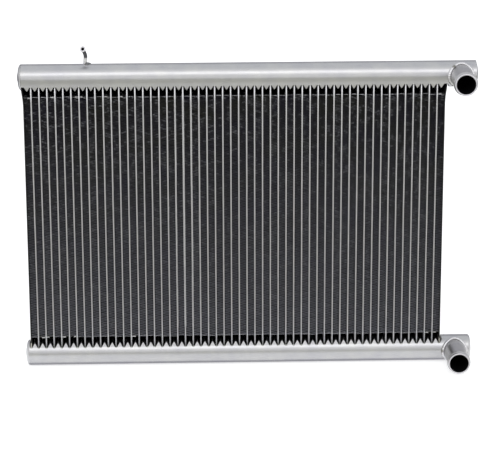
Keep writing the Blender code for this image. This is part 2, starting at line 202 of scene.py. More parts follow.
# Tanks: two 33 mm round tubes of drawn aluminium, 1.5 mm thick, with domed caps welded in.
# A tool pressed their core side into V-shaped teeth, with a slot for a tube in each valley.
# They are one skin each here, drawn as rings of points from cap to cap.
LOWER_AXIS = 0.0165
UPPER_AXIS = 0.3825
TANK_RADIUS = 0.0165
VALLEY = 0.00983
RIDGE = 0.0162
PITCH = 0.010
FIRST_TUBE = -0.255
TUBES = 52
PLATE_X = 0.2646
TANK_LEFT = -0.2725
TANK_RIGHT = 0.30705
VALLEY_RUN = 0.0025
NECK_X = 0.28505
NECK_HOLE = 0.0132
LEFT_DOME = 0.0012
PLATE_FLARE = 0.0022
TOOTH_STEPS = (0.16, 0.34, 0.52, 0.7, 0.87, 1.0, 0.87, 0.7, 0.52, 0.34, 0.16)
TOOTH_LEAN = 0.38
FACE_SHARES = (0.0, 0.35, 0.7, 0.93)
TOP_SHARES = (0.97, 0.65, 0.33, 0.0)
ROUND_STEPS = 62
TUBE_SLOT_HALF = 0.0012
PLATE_SLOT_HALF = 0.00085
LEAST_RISE = 0.00004
CAP_SHARES = (0.2, 0.45, 0.7, 0.9)
CORNER_STEPS = 8
RUN_ROWS = 4
BARE_ROWS = 29
BARE_ROWS_LAP = 0.0012
HOLE_MARGIN = 0.0004
CREASE_ANGLE = math.radians(33)


def slots(flare):
    """Centre and half width of every slot: both side plates and all the tubes."""
    rows = [(-PLATE_X - flare / 2, PLATE_SLOT_HALF + flare / 2)]
    rows += [(FIRST_TUBE + n * PITCH, TUBE_SLOT_HALF) for n in range(TUBES)]
    return rows + [(PLATE_X + flare / 2, PLATE_SLOT_HALF + flare / 2)]


def tooth_line(flare):
    """Stations along the core as (x, height of the pressed face above the axis)."""
    line = []
    rows = slots(flare)
    for index, (middle, half) in enumerate(rows):
        line += [(middle - half, VALLEY), (middle, VALLEY), (middle + half, VALLEY)]
        if index + 1 < len(rows):
            start, finish = middle + half, rows[index + 1][0] - rows[index + 1][1]
            count = len(TOOTH_STEPS) + 1
            for step, rise in enumerate(TOOTH_STEPS):
                line.append((
                    start + (finish - start) * (step + 1) / count,
                    VALLEY + (RIDGE - VALLEY) * rise,
                ))
    return line


def plain_rows(x_from, x_to, round_from, round_to, count):
    """Rows of tank_rows between two places, whose roundness changes evenly."""
    return [
        (
            x_from + (x_to - x_from) * n / count, TANK_RADIUS, VALLEY,
            round_from + (round_to - round_from) * n / count,
        )
        for n in range(1, count)
    ]


def cap_line(end_x, inward, corner_x, corner_r, dome):
    """Rings of a domed cap from its tip to where the tube is straight: (x, radius)."""
    rings = []
    for share in CAP_SHARES:
        radius = (TANK_RADIUS - corner_r) * share
        rings.append((end_x + inward * dome * share**2, radius))
    for step in range(CORNER_STEPS + 1):
        angle = math.pi / 2 * step / CORNER_STEPS
        rings.append((
            end_x + inward * (dome + corner_x * (1 - math.cos(angle))),
            TANK_RADIUS - corner_r * (1 - math.sin(angle)),
        ))
    return rings


def half_crown(height):
    """Points (y, w) of a tooth or valley: up its front face, then across its top to the middle."""
    seat = math.sqrt(TANK_RADIUS**2 - VALLEY**2)
    rise = max(height - VALLEY, LEAST_RISE)
    edge = seat - TOOTH_LEAN * rise
    face = [(seat - TOOTH_LEAN * rise * share, VALLEY + rise * share) for share in FACE_SHARES]
    return face + [(edge * share, VALLEY + rise) for share in TOP_SHARES]


def tank_section(height, roundness):
    """One ring (y, w) round the tank. Roundness 1 leaves the tube as it was before pressing."""
    half = half_crown(height)
    seat_angle = math.acos(VALLEY / TANK_RADIUS)
    steps = len(half) - 1
    turned = [seat_angle * (1 - n / steps) for n in range(steps + 1)]
    arc = [(TANK_RADIUS * math.sin(a), TANK_RADIUS * math.cos(a)) for a in turned]
    mixed = [
        (y + (arc_y - y) * roundness, w + (arc_w - w) * roundness)
        for (y, w), (arc_y, arc_w) in zip(half, arc)
    ]
    sweep = 2 * math.pi - 2 * seat_angle
    far = [seat_angle + sweep * n / ROUND_STEPS for n in range(1, ROUND_STEPS)]
    body = [(TANK_RADIUS * math.sin(a), TANK_RADIUS * math.cos(a)) for a in far]
    mirrored = [(-y, w) for y, w in mixed]
    return mixed[::-1] + body + mirrored[:-1]


def tank_rows(left_cap, right_cap, flare):
    """Every ring from cap to cap: (x, radius, height of the core side, roundness)."""
    left_flat = TANK_LEFT + left_cap[0] + left_cap[2]
    right_flat = TANK_RIGHT - right_cap[0] - right_cap[2]
    line = tooth_line(flare)
    first_edge, last_edge = line[0][0], line[-1][0]
    rows = [(x, radius, VALLEY, 1.0) for x, radius in cap_line(TANK_LEFT, 1, *left_cap)]
    rows += plain_rows(left_flat, first_edge, 1, 0, RUN_ROWS)
    rows += [(x, TANK_RADIUS, height, 0.0) for x, height in line]
    rows += plain_rows(last_edge, last_edge + VALLEY_RUN, 0, 1, RUN_ROWS)
    rows += plain_rows(last_edge + VALLEY_RUN - BARE_ROWS_LAP, right_flat, 1, 1, BARE_ROWS)
    right_rings = reversed(cap_line(TANK_RIGHT, -1, *right_cap))
    return rows + [(x, radius, VALLEY, 1.0) for x, radius in right_rings]


def ring_faces(rings, around, start=0, closed=False):
    """Quads between rings of points that lie one after the other from start."""
    faces = []
    for ring in range(rings if closed else rings - 1):
        here, there = start + ring * around, start + (ring + 1) % rings * around
        for step in range(around):
            after = (step + 1) % around
            faces.append((here + step, here + after, there + after, there + step))
    return faces


def tank_piece(name, axis, core_way, rows, material):
    """The skin over a tank's rows, with the neck's hole at the front and both caps closed."""
    points, inside = [], []
    for x, radius, height, roundness in rows:
        section = tank_section(height, roundness)
        scale = radius / TANK_RADIUS
        for y, w in section:
            away = math.hypot(x - NECK_X, w * scale)
            inside.append(y < 0 and away < NECK_HOLE - HOLE_MARGIN)
            points.append([x, y * scale, w * scale])
    around = len(section)
    faces = ring_faces(len(rows), around)
    cut = [face for face in faces if any(inside[v] for v in face)]
    faces = [face for face in faces if not any(inside[v] for v in face)]
    for v in {v for face in cut for v in face if not inside[v]}:
        x, y, w = points[v]
        away = math.hypot(x - NECK_X, w)
        x = NECK_X + (x - NECK_X) * NECK_HOLE / away
        w = w * NECK_HOLE / away
        points[v] = [x, -math.sqrt(TANK_RADIUS**2 - w**2), w]
    for row, tip_x in ((0, TANK_LEFT), (len(rows) - 1, TANK_RIGHT)):
        tip = len(points)
        points.append([tip_x, 0, 0])
        for side in range(around):
            after = (side + 1) % around
            ring = (row * around + side, row * around + after)
            faces.append((ring[1], ring[0], tip) if row == 0 else (*ring, tip))
    kept = {}
    for face in faces:
        for v in face:
            kept.setdefault(v, len(kept))
    order = sorted(kept, key=kept.get)
    placed = [(x, y, axis + w * core_way) for x, y, w in (points[v] for v in order)]
    if core_way < 0:
        faces = [tuple(reversed(face)) for face in faces]
    skin = piece_from(
        name, placed, [tuple(kept[v] for v in face) for face in faces], [material]
    )
    skin.data.set_sharp_from_angle(angle=CREASE_ANGLE)
    return skin


def surface(name, metallic=0.0, roughness=0.5):
    """A new material, its node tree, its shader and the place on the piece as a socket."""
    material = bpy.data.materials.new(name)
    material.use_nodes = True
    tree = material.node_tree
    shader = tree.nodes["Principled BSDF"]
    shader.inputs["Metallic"].default_value = metallic
    shader.inputs["Roughness"].default_value = roughness
    return material, tree, shader, add_node(tree, "ShaderNodeTexCoord").outputs["Object"]


def blend(tree, share, low, high):
    """Mixes two colours or colour sockets. Its result is outputs[2]."""
    return add_node(tree, "ShaderNodeMix", {0: share, 6: low, 7: high}, data_type="RGBA")


# Drawn and etched aluminium: pale grey, with a broad soft gloss and faint lines lengthways.
# The lines are drawn 1.2 mm apart, as the real ones are too fine to show.
drawn_aluminium, tree, shader, spot = surface("drawn_aluminium", metallic=1.0)
long_way = add_node(tree, "ShaderNodeMapping", {"Vector": spot, "Scale": (25, 800, 800)})
lines = add_node(tree, "ShaderNodeTexNoise", {
    "Vector": long_way.outputs[0], "Scale": 1.0, "Detail": 2.0,
})
cloud = add_node(tree, "ShaderNodeTexNoise", {"Vector": spot, "Scale": 55.0, "Detail": 3.0})
tone = add_node(tree, "ShaderNodeMapRange", {
    "Value": cloud.outputs["Fac"], "From Min": 0.3, "From Max": 0.7,
})
colour = blend(tree, tone.outputs[0], paint("#BCBCC0"), paint("#C6C6C6"))
tree.links.new(colour.outputs[2], shader.inputs["Base Color"])
rough = add_node(tree, "ShaderNodeMapRange", {
    "Value": lines.outputs["Fac"], "From Min": 0.3, "From Max": 0.7,
    "To Min": 0.27, "To Max": 0.36,
})
tree.links.new(rough.outputs[0], shader.inputs["Roughness"])
wave = add_node(tree, "ShaderNodeMapping", {"Vector": spot, "Scale": (14, 60, 60)})
dents = add_node(tree, "ShaderNodeTexNoise", {"Vector": wave.outputs[0], "Scale": 1.0})
low = add_node(tree, "ShaderNodeBump", {
    "Height": dents.outputs["Fac"], "Strength": 0.5, "Distance": 0.0006,
})
fine = add_node(tree, "ShaderNodeBump", {
    "Height": lines.outputs["Fac"], "Strength": 0.25, "Distance": 0.00004,
    "Normal": low.outputs[0],
})
tree.links.new(fine.outputs[0], shader.inputs["Normal"])

# each cap: how far its corner reaches along the tank, and inwards, and how far it is domed
for node_name, axis, core_way, left_cap, right_cap, flare in (
    ("lower_tank", LOWER_AXIS, 1, (0.0042, 0.0085, LEFT_DOME), (0.0034, 0.0055, 0.0012), 0),
    ("upper_tank", UPPER_AXIS, -1, (0.0042, 0.0095, LEFT_DOME), (0.0005, 0.0005, 0.0026),
     PLATE_FLARE),
):
    rows = tank_rows(left_cap, right_cap, flare)
    tank = tank_piece(f"{node_name}_skin", axis, core_way, rows, drawn_aluminium)
    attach(tank, "root")
    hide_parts(node_name)


# Tubes: 52 flat tubes of welded aluminium strip, 26 x 2 mm, with round noses.
# Their ends stand in the slots of the tanks' valleys, and each bows by less than 0.1 mm.
TUBE_HALF = 0.001
TUBE_DEPTH = 0.013
TUBE_LOW = 0.0226
TUBE_HIGH = 0.3764
TUBE_LEVELS = 14
TUBE_BOW = 0.00007
TUBE_SEED = 52
NOSE_STEPS = 8

plain_aluminium, tree, shader, spot = surface("satin_aluminium_strip", metallic=1.0)
cloud = add_node(tree, "ShaderNodeTexNoise", {"Vector": spot, "Scale": 90.0, "Detail": 3.0})
tone = add_node(tree, "ShaderNodeMapRange", {
    "Value": cloud.outputs["Fac"], "From Min": 0.3, "From Max": 0.7,
})
colour = blend(tree, tone.outputs[0], paint("#B6B6BA"), paint("#C4C4C4"))
# Painted light: the tubes are coloured paler towards their tops.
height = add_node(tree, "ShaderNodeSeparateXYZ", {"Vector": spot}).outputs["Z"]
painted_light_share = add_node(tree, "ShaderNodeMapRange", {
    "Value": height, "From Min": 0.10, "From Max": 0.34,
})
painted_light_upwards = blend(tree, painted_light_share.outputs[0], colour.outputs[2], paint("#DCDCDE"))
tree.links.new(painted_light_upwards.outputs[2], shader.inputs["Base Color"])
rough = add_node(tree, "ShaderNodeMapRange", {
    "Value": cloud.outputs["Fac"], "To Min": 0.34, "To Max": 0.46,
})
tree.links.new(rough.outputs[0], shader.inputs["Roughness"])
grain = add_node(tree, "ShaderNodeTexNoise", {"Vector": spot, "Scale": 900.0})
fine = add_node(tree, "ShaderNodeBump", {
    "Height": grain.outputs["Fac"], "Strength": 0.2, "Distance": 0.00004,
})
tree.links.new(fine.outputs[0], shader.inputs["Normal"])


def tube_section():
    """Outline (x, y) of a flat tube with half-round noses."""
    outline = []
    for middle, start in ((TUBE_DEPTH - TUBE_HALF, 0), (TUBE_HALF - TUBE_DEPTH, 180)):
        for step in range(NOSE_STEPS + 1):
            angle = math.radians(start + 180 * step / NOSE_STEPS)
            outline.append((TUBE_HALF * math.cos(angle), middle + TUBE_HALF * math.sin(angle)))
    return outline


def column(name, section, levels, material):
    """An upright bar of one section, closed at both ends, through (x, z) levels."""
    count = len(section)
    points = [(x + a, b, z) for x, z in levels for a, b in section]
    faces = ring_faces(len(levels), count)
    faces.append(tuple(reversed(range(count))))
    faces.append(tuple(range((len(levels) - 1) * count, len(levels) * count)))
    return piece_from(name, points, faces, [material])


chance = random.Random(TUBE_SEED)
for number in range(TUBES):
    x = FIRST_TUBE + number * PITCH
    levels = []
    for level in range(TUBE_LEVELS + 1):
        share = level / TUBE_LEVELS
        free = math.sin(math.pi * share)
        levels.append((
            x + chance.uniform(-TUBE_BOW, TUBE_BOW) * free,
            TUBE_LOW + (TUBE_HIGH - TUBE_LOW) * share,
        ))
    tube = column(f"flat_tube_{number + 1:02d}", tube_section(), levels, plain_aluminium)
    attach(tube, "root")
    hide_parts(f"tube_{number + 1:02d}_with_fins")


# Braze: a small bright bead of filler closes each slot at the front and back of its tube.
# The beads of one tank are one piece.
BEAD_HALF = (0.00165, 0.0009, 0.0008)
BEAD_RINGS = 4
BEAD_SIDES = 10
BEAD_OUT = 0.0131
BEAD_SIZES = (0.85, 1.1)
BEAD_STRAY = 0.0002

braze_filler, tree, shader, spot = surface("braze_filler", metallic=0.6, roughness=0.5)
cloud = add_node(tree, "ShaderNodeTexNoise", {"Vector": spot, "Scale": 240.0, "Detail": 2.0})
colour = blend(tree, cloud.outputs["Fac"], paint("#A4A49C"), paint("#E0E0DC"))
tree.links.new(colour.outputs[2], shader.inputs["Base Color"])


def bead(points, faces, place, half):
    """A small ellipsoid of filler, cut off flat at its bottom and top."""
    start = len(points)
    for ring in range(1, BEAD_RINGS + 1):
        tilt = math.pi * ring / (BEAD_RINGS + 1) - math.pi / 2
        for step in range(BEAD_SIDES):
            turn = 2 * math.pi * step / BEAD_SIDES
            points.append((
                place[0] + half[0] * math.cos(tilt) * math.cos(turn),
                place[1] + half[1] * math.cos(tilt) * math.sin(turn),
                place[2] + half[2] * math.sin(tilt),
            ))
    faces += ring_faces(BEAD_RINGS, BEAD_SIDES, start)
    top = len(points) - BEAD_SIDES
    faces.append(tuple(start + step for step in reversed(range(BEAD_SIDES))))
    faces.append(tuple(top + step for step in range(BEAD_SIDES)))


for node_name, z in (
    ("lower_tank", LOWER_AXIS + VALLEY), ("upper_tank", UPPER_AXIS - VALLEY),
):
    points, faces = [], []
    chance = random.Random(len(node_name))
    for number in range(TUBES):
        for y in (-BEAD_OUT, BEAD_OUT):
            size = chance.uniform(*BEAD_SIZES)
            stray = chance.uniform(-BEAD_STRAY, BEAD_STRAY)
            place = (FIRST_TUBE + number * PITCH + stray, y, z)
            bead(points, faces, place, [half * size for half in BEAD_HALF])
    braze = piece_from(f"{node_name}_braze", points, faces, [braze_filler])
    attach(braze, "root")
    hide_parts(node_name)


# Fins: 53 strips of 0.15 mm aluminium sheet, folded 188 times and painted dark as painted shade.
# Each strip is brazed between two tubes by its folds. A few cut ends are bent and bare.
FIN_LOW = 0.0412
FIN_HIGH = 0.3595
FIN_LEGS = 188
FIN_SHEET = 0.00015
FIN_DEPTH = 0.012
FOLD_HALF = 0.00026
FOLD_STRAY = 0.0001
LEG_STRAY = 0.0002
LEG_BENDS = (0.4, 0.6)
STRIP_SEED = 1000
WORN_SHARES = (0.15, 0.3, 0.5)
LIP_STEPS = 6
LIP_INSET = 0.0002
LIP_DROP = 0.0003
LIP_STRAYS = (-0.0006, 0.0004)
LIP_SAGS = (-0.0003, 0.0008)
DARK_LIP_HEIGHTS = (0.0003, 0.0006)
BARE_LIP_HEIGHTS = (0.0009, 0.0013)
BARE_LIP_SPLITS = (0.35, 0.6)
BARE_STATIONS = 4
BARE_TOP_ENDS = {0, 3, 6, 7, 10, 12, 52}
BARE_LOW_ENDS = {1, 2, 4, 5, 13, 51, 52}

# Painted shade: the sheet is coloured near-black for the shade between its folds, with random
# tints.
shaded_fin_sheet, tree, shader, spot = surface("fin_sheet_painted_shade", roughness=0.45)
cloud = add_node(tree, "ShaderNodeTexNoise", {"Vector": spot, "Scale": 35.0, "Detail": 4.0})
tint = add_node(tree, "ShaderNodeMapRange", {
    "Value": cloud.outputs["Fac"], "From Min": 0.35, "From Max": 0.65,
})
high = blend(tree, tint.outputs[0], paint("#2E2A3E"), paint("#37372B"))
axes = add_node(tree, "ShaderNodeSeparateXYZ", {"Vector": spot})
# Painted light: the sheet is painted paler towards the lower tank.
painted_light_below = add_node(tree, "ShaderNodeMapRange", {
    "Value": axes.outputs["Z"], "From Min": 0.34, "From Max": 0.05,
})
colour = blend(tree, painted_light_below.outputs[0], high.outputs[2], paint("#8A8A92"))
speck = add_node(tree, "ShaderNodeTexNoise", {"Vector": spot, "Scale": 400.0, "Detail": 2.0})
worn = add_node(tree, "ShaderNodeMapRange", {
    "Value": speck.outputs["Fac"], "From Min": 0.62, "From Max": 0.75,
})
mottled = blend(tree, worn.outputs[0], colour.outputs[2], paint("#6A6A6C"))
# Painted shade: more than about 3 mm behind its front edge the sheet is painted near-black.
near_front = add_node(tree, "ShaderNodeMapRange", {
    "Value": axes.outputs["Y"], "From Min": -0.0085, "From Max": -0.0116,
})
painted_depth_shade = blend(tree, near_front.outputs[0], paint("#060608"), mottled.outputs[2])
tree.links.new(painted_depth_shade.outputs[2], shader.inputs["Base Color"])

bare_sheet, tree, shader, spot = surface("bare_cut_sheet", metallic=1.0, roughness=0.4)
cloud = add_node(tree, "ShaderNodeTexNoise", {"Vector": spot, "Scale": 300.0})
colour = blend(tree, cloud.outputs["Fac"], paint("#B8B8BC"), paint("#E4E4E8"))
tree.links.new(colour.outputs[2], shader.inputs["Base Color"])

# The worn front edges copy this sheet's painted shade and painted light, with more and paler
# specks.
worn_edge = shaded_fin_sheet.copy()
worn_edge.name = "worn_edge_painted_shade"
worn_edge.node_tree.nodes[mottled.name].inputs[7].default_value = paint("#B4B4B8")
worn_edge.node_tree.nodes[worn.name].inputs["From Min"].default_value = 0.35
worn_edge.node_tree.nodes[worn.name].inputs["From Max"].default_value = 0.6


def end_lip(points, faces, picks, span, place, sag, pick):
    """The cut end of a strip, turned up at its front in a shallow arc. Place is (z, height)."""
    start = len(points)
    left, right = span
    z, tall = place
    for step in range(LIP_STEPS + 1):
        share = step / LIP_STEPS
        x = left + (right - left) * share
        middle = z + sag * (1 - (2 * share - 1) ** 2)
        for y in (-FIN_DEPTH, -FIN_DEPTH + FIN_SHEET):
            points += [(x, y, middle - tall / 2), (x, y, middle + tall / 2)]
        if step:
            a, b = start + 4 * (step - 1), start + 4 * step
            faces += [
                (a, b, b + 1, a + 1), (a + 2, a + 3, b + 3, b + 2),
                (a, a + 2, b + 2, b), (a + 1, b + 1, b + 3, a + 3),
            ]
            picks += [pick] * 4
    last = start + 4 * LIP_STEPS
    faces += [(start, start + 1, start + 3, start + 2), (last, last + 2, last + 3, last + 1)]
    picks += [pick] * 2


def fin_strip(name, left, right, strip):
    """A folded strip between two walls, as a closed sheet that runs up in a zigzag."""
    dice = random.Random(STRIP_SEED + strip)
    rise = (FIN_HIGH - FIN_LOW) / FIN_LEGS
    wear = dice.choice(WORN_SHARES)
    line, shiny = [], []
    for fold in range(FIN_LEGS + 1):
        z = FIN_LOW + rise * fold + dice.uniform(-FOLD_STRAY, FOLD_STRAY)
        z = min(max(z, FIN_LOW + FOLD_HALF), FIN_HIGH - FOLD_HALF)
        x = left + FIN_SHEET if fold % 2 == 0 else right - FIN_SHEET
        line += [(x, z - FOLD_HALF), (x, z + FOLD_HALF)]
        shiny += [dice.random() < wear] * 3
        if fold < FIN_LEGS:
            share = dice.uniform(*LEG_BENDS)
            other = right - FIN_SHEET if fold % 2 == 0 else left + FIN_SHEET
            line.append((
                x + (other - x) * share,
                z + rise * share + dice.uniform(-LEG_STRAY, LEG_STRAY),
            ))
    half = FIN_SHEET / 2
    points, faces, picks = [], [], []
    for index, (x, z) in enumerate(line):
        before, after = line[max(index - 1, 0)], line[min(index + 1, len(line) - 1)]
        way = Vector((after[0] - before[0], after[1] - before[1])).normalized()
        off_x, off_z = -way.y * half, way.x * half
        for y in (-FIN_DEPTH, FIN_DEPTH):
            points += [(x + off_x, y, z + off_z), (x - off_x, y, z - off_z)]
        if index:
            a, b = 4 * (index - 1), 4 * index
            faces += [
                (a, b, b + 2, a + 2), (a + 1, a + 3, b + 3, b + 1),
                (a, a + 1, b + 1, b), (a + 2, b + 2, b + 3, a + 3),
            ]
            bare = strip in BARE_LOW_ENDS and index <= BARE_STATIONS
            from_top = len(line) - 1 - index
            bare = bare or (strip in BARE_TOP_ENDS and from_top <= BARE_STATIONS)
            picks += [1, 1, 1, 1] if bare else [0, 0, 2 if shiny[index] else 0, 0]
    last = 4 * (len(line) - 1)
    faces += [(0, 2, 3, 1), (last, last + 1, last + 3, last + 2)]
    picks += [0, 0]
    for z, bare_strips in ((FIN_LOW, BARE_LOW_ENDS), (FIN_HIGH - LIP_DROP, BARE_TOP_ENDS)):
        bare = strip in bare_strips
        low_x, high_x = left + LIP_INSET, right - LIP_INSET
        span = (low_x, high_x)
        if bare:
            middle = left + (right - left) * dice.uniform(*BARE_LIP_SPLITS)
            span = (middle, high_x) if dice.random() < 0.5 else (low_x, middle)
        tall = dice.uniform(*(BARE_LIP_HEIGHTS if bare else DARK_LIP_HEIGHTS))
        place = (z + dice.uniform(*LIP_STRAYS), tall)
        sag = dice.uniform(*LIP_SAGS)
        end_lip(points, faces, picks, span, place, sag, 1 if bare else 2)
    return piece_from(name, points, faces, [shaded_fin_sheet, bare_sheet, worn_edge], False, picks)


for strip in range(TUBES + 1):
    left = FIRST_TUBE + (strip - 1) * PITCH + TUBE_HALF
    right = left + PITCH - 2 * TUBE_HALF
    fins = fin_strip(f"fin_strip_{strip:02d}", left, right, strip)
    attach(fins, "root")
    if strip == 0:
        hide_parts("fin_strip_left")
    else:
        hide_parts(f"tube_{strip:02d}_with_fins")


# Side plates: 1.2 mm aluminium strips that close the core left and right.
# Painted shade makes them dark like the fins; they are bare at their lower ends and flared at the
# upper ones.
PLATE_HALF = 0.0006
PLATE_NOSE_HALF = PLATE_HALF * 0.6
PLATE_FLAT_DEPTH = 0.0127
PLATE_FIRST_LEVEL = 0.0375
PLATE_FLARES = ((0.3480, 0.0), (0.3560, 0.2), (0.3630, 0.6), (0.3690, 0.95), (0.3720, 1.0))

# Painted shade: the plates are coloured near-black above their bare lower ends.
plate_painted_shade, tree, shader, spot = surface("side_plate_painted_shade", roughness=0.55)
height = add_node(tree, "ShaderNodeSeparateXYZ", {"Vector": spot}).outputs["Z"]
ragged = add_node(tree, "ShaderNodeTexNoise", {"Vector": spot, "Scale": 260.0, "Detail": 3.0})
uneven = add_node(tree, "ShaderNodeMath", {
    0: ragged.outputs["Fac"], 1: 0.004, 2: height,
}, operation="MULTIPLY_ADD")
bare = add_node(tree, "ShaderNodeMapRange", {
    "Value": uneven.outputs[0], "From Min": 0.0355, "From Max": 0.0345,
})
cloud = add_node(tree, "ShaderNodeTexNoise", {"Vector": spot, "Scale": 120.0})
dark = blend(tree, cloud.outputs["Fac"], paint("#121214"), paint("#232322"))
colour = blend(tree, bare.outputs[0], dark.outputs[2], paint("#C8C6BE"))
tree.links.new(colour.outputs[2], shader.inputs["Base Color"])
tree.links.new(bare.outputs[0], shader.inputs["Metallic"])

for node_name, middle in (("side_plate_left", -PLATE_X), ("side_plate_right", PLATE_X)):
    section = [
        (PLATE_HALF, -PLATE_FLAT_DEPTH), (PLATE_HALF, PLATE_FLAT_DEPTH),
        (PLATE_NOSE_HALF, TUBE_DEPTH), (-PLATE_NOSE_HALF, TUBE_DEPTH),
        (-PLATE_HALF, PLATE_FLAT_DEPTH), (-PLATE_HALF, -PLATE_FLAT_DEPTH),
        (-PLATE_NOSE_HALF, -TUBE_DEPTH), (PLATE_NOSE_HALF, -TUBE_DEPTH),
    ]
    flare = math.copysign(PLATE_FLARE, middle)
    levels = [(middle, TUBE_LOW), (middle, PLATE_FIRST_LEVEL)]
    levels += [(middle + flare * share, z) for z, share in PLATE_FLARES]
    plate = column(f"{node_name}_sheet", section, levels, plate_painted_shade)
    plate.data.polygons.foreach_set("use_smooth", [False] * len(plate.data.polygons))
    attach(plate, "root")
    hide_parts(node_name)


# Hose necks: 28 mm turned aluminium pipes, coped to the tanks' fronts and welded on.
# A bead is rolled up behind each mouth to hold the hose, and the bore runs into the tank.
NECK_RADIUS = 0.014
NECK_TURNS = 96
# (radius, distance in front of the tank's axis), from deep in the bore round the rim outside
NECK_OUTLINE = [
    (0.0119, 0.004), (0.012, 0.012), (0.012, 0.030), (0.012, 0.0560), (0.01205, 0.0637),
    (0.0122, 0.0642), (0.01255, 0.0645), (0.01345, 0.0645), (0.0138, 0.06435),
    (0.014, 0.0639), (0.014, 0.0612), (0.01412, 0.0607), (0.01455, 0.0602),
    (0.0149, 0.0597), (0.01513, 0.0591), (0.0152, 0.0585), (0.01513, 0.0579),
    (0.0149, 0.0573), (0.01455, 0.0568), (0.01412, 0.0563), (0.014, 0.0558),
    (0.014, 0.040), (0.014, 0.024), (0.014, 0.010), (0.013, 0.0105),
]
NECK_LINING_ROWS = 4
NECK_RIM_ROWS = 9
SEAM_POINTS = 220
SEAM_SIDES = 10
SEAM_BEATS = 22
SEAM_RADIUS = 0.0017
SEAM_BEAT_RISE = 0.0003
SEAM_RIPPLE = 0.00005
SEAM_REACH = 0.0006
SEAM_SINK = 0.0004
SEAM_SADDLE = 0.0153
SEAM_BULGE_TURN = math.radians(190)
SEAM_BULGE_REACH = 0.0011
SEAM_BULGE_RADIUS = 0.0006
SEAM_LOW_CUT = 0.0005

turned_aluminium, tree, shader, spot = surface("turned_aluminium", metallic=1.0)
turned = add_node(tree, "ShaderNodeMapping", {"Vector": spot, "Scale": (60, 1100, 60)})
marks = add_node(tree, "ShaderNodeTexNoise", {"Vector": turned.outputs[0], "Scale": 1.0})
cloud = add_node(tree, "ShaderNodeTexNoise", {"Vector": spot, "Scale": 130.0, "Detail": 3.0})
colour = blend(tree, cloud.outputs["Fac"], paint("#BCBCC0"), paint("#CCCBC8"))
tree.links.new(colour.outputs[2], shader.inputs["Base Color"])
rough = add_node(tree, "ShaderNodeMapRange", {
    "Value": marks.outputs["Fac"], "To Min": 0.28, "To Max": 0.42,
})
tree.links.new(rough.outputs[0], shader.inputs["Roughness"])
fine = add_node(tree, "ShaderNodeBump", {
    "Height": marks.outputs["Fac"], "Strength": 0.3, "Distance": 0.00003,
})
tree.links.new(fine.outputs[0], shader.inputs["Normal"])

# Painted shade: the bores of the necks and of the vent are coloured near-black.
bore_painted_shade, tree, shader, spot = surface("bore_painted_shade", roughness=0.9)
shader.inputs["Specular IOR Level"].default_value = 0.1
cloud = add_node(tree, "ShaderNodeTexNoise", {"Vector": spot, "Scale": 200.0})
colour = blend(tree, cloud.outputs["Fac"], paint("#08080A"), paint("#101012"))
tree.links.new(colour.outputs[2], shader.inputs["Base Color"])

bright_rim, tree, shader, spot = surface("machined_rim", metallic=0.5, roughness=0.35)
cloud = add_node(tree, "ShaderNodeTexNoise", {"Vector": spot, "Scale": 260.0})
colour = blend(tree, cloud.outputs["Fac"], paint("#D4D2D6"), paint("#EAE8EC"))
tree.links.new(colour.outputs[2], shader.inputs["Base Color"])

weld_metal, tree, shader, spot = surface("weld_aluminium", metallic=1.0, roughness=0.3)
cloud = add_node(tree, "ShaderNodeTexNoise", {"Vector": spot, "Scale": 350.0, "Detail": 2.0})
bead_colour = blend(tree, cloud.outputs["Fac"], paint("#C4C2C6"), paint("#F0F0F2"))
patch = add_node(tree, "ShaderNodeTexNoise", {"Vector": spot, "Scale": 110.0, "Detail": 2.0})
burnt = add_node(tree, "ShaderNodeMapRange", {
    "Value": patch.outputs["Fac"], "From Min": 0.54, "From Max": 0.66,
})
colour = blend(tree, burnt.outputs[0], bead_colour.outputs[2], paint("#7C7A72"))
tree.links.new(colour.outputs[2], shader.inputs["Base Color"])

grey_weld = weld_metal.copy()
grey_weld.name = "oxidised_weld_aluminium"
grey_weld.node_tree.nodes[bead_colour.name].inputs[6].default_value = paint("#5E5E60")
grey_weld.node_tree.nodes[bead_colour.name].inputs[7].default_value = paint("#8A8A8C")


def swept_ring(line, radii, sides, closed):
    """Points and faces of a tube along a line of vectors, with a radius for each point."""
    points = []
    count = len(line)
    side_way = None
    for index, place in enumerate(line):
        if closed:
            before, after = line[index - 1], line[(index + 1) % count]
        else:
            before, after = line[max(index - 1, 0)], line[min(index + 1, count - 1)]
        way = (after - before).normalized()
        if side_way is None:
            side_way = way.orthogonal().normalized()
        side_way = (side_way - way * side_way.dot(way)).normalized()
        other = way.cross(side_way)
        for step in range(sides):
            angle = 2 * math.pi * step / sides
            points.append(
                place + (side_way * math.cos(angle) + other * math.sin(angle)) * radii[index]
            )
    faces = ring_faces(count, sides, closed=closed)
    if not closed:
        faces.append(tuple(reversed(range(sides))))
        faces.append(tuple(range((count - 1) * sides, count * sides)))
    return points, faces


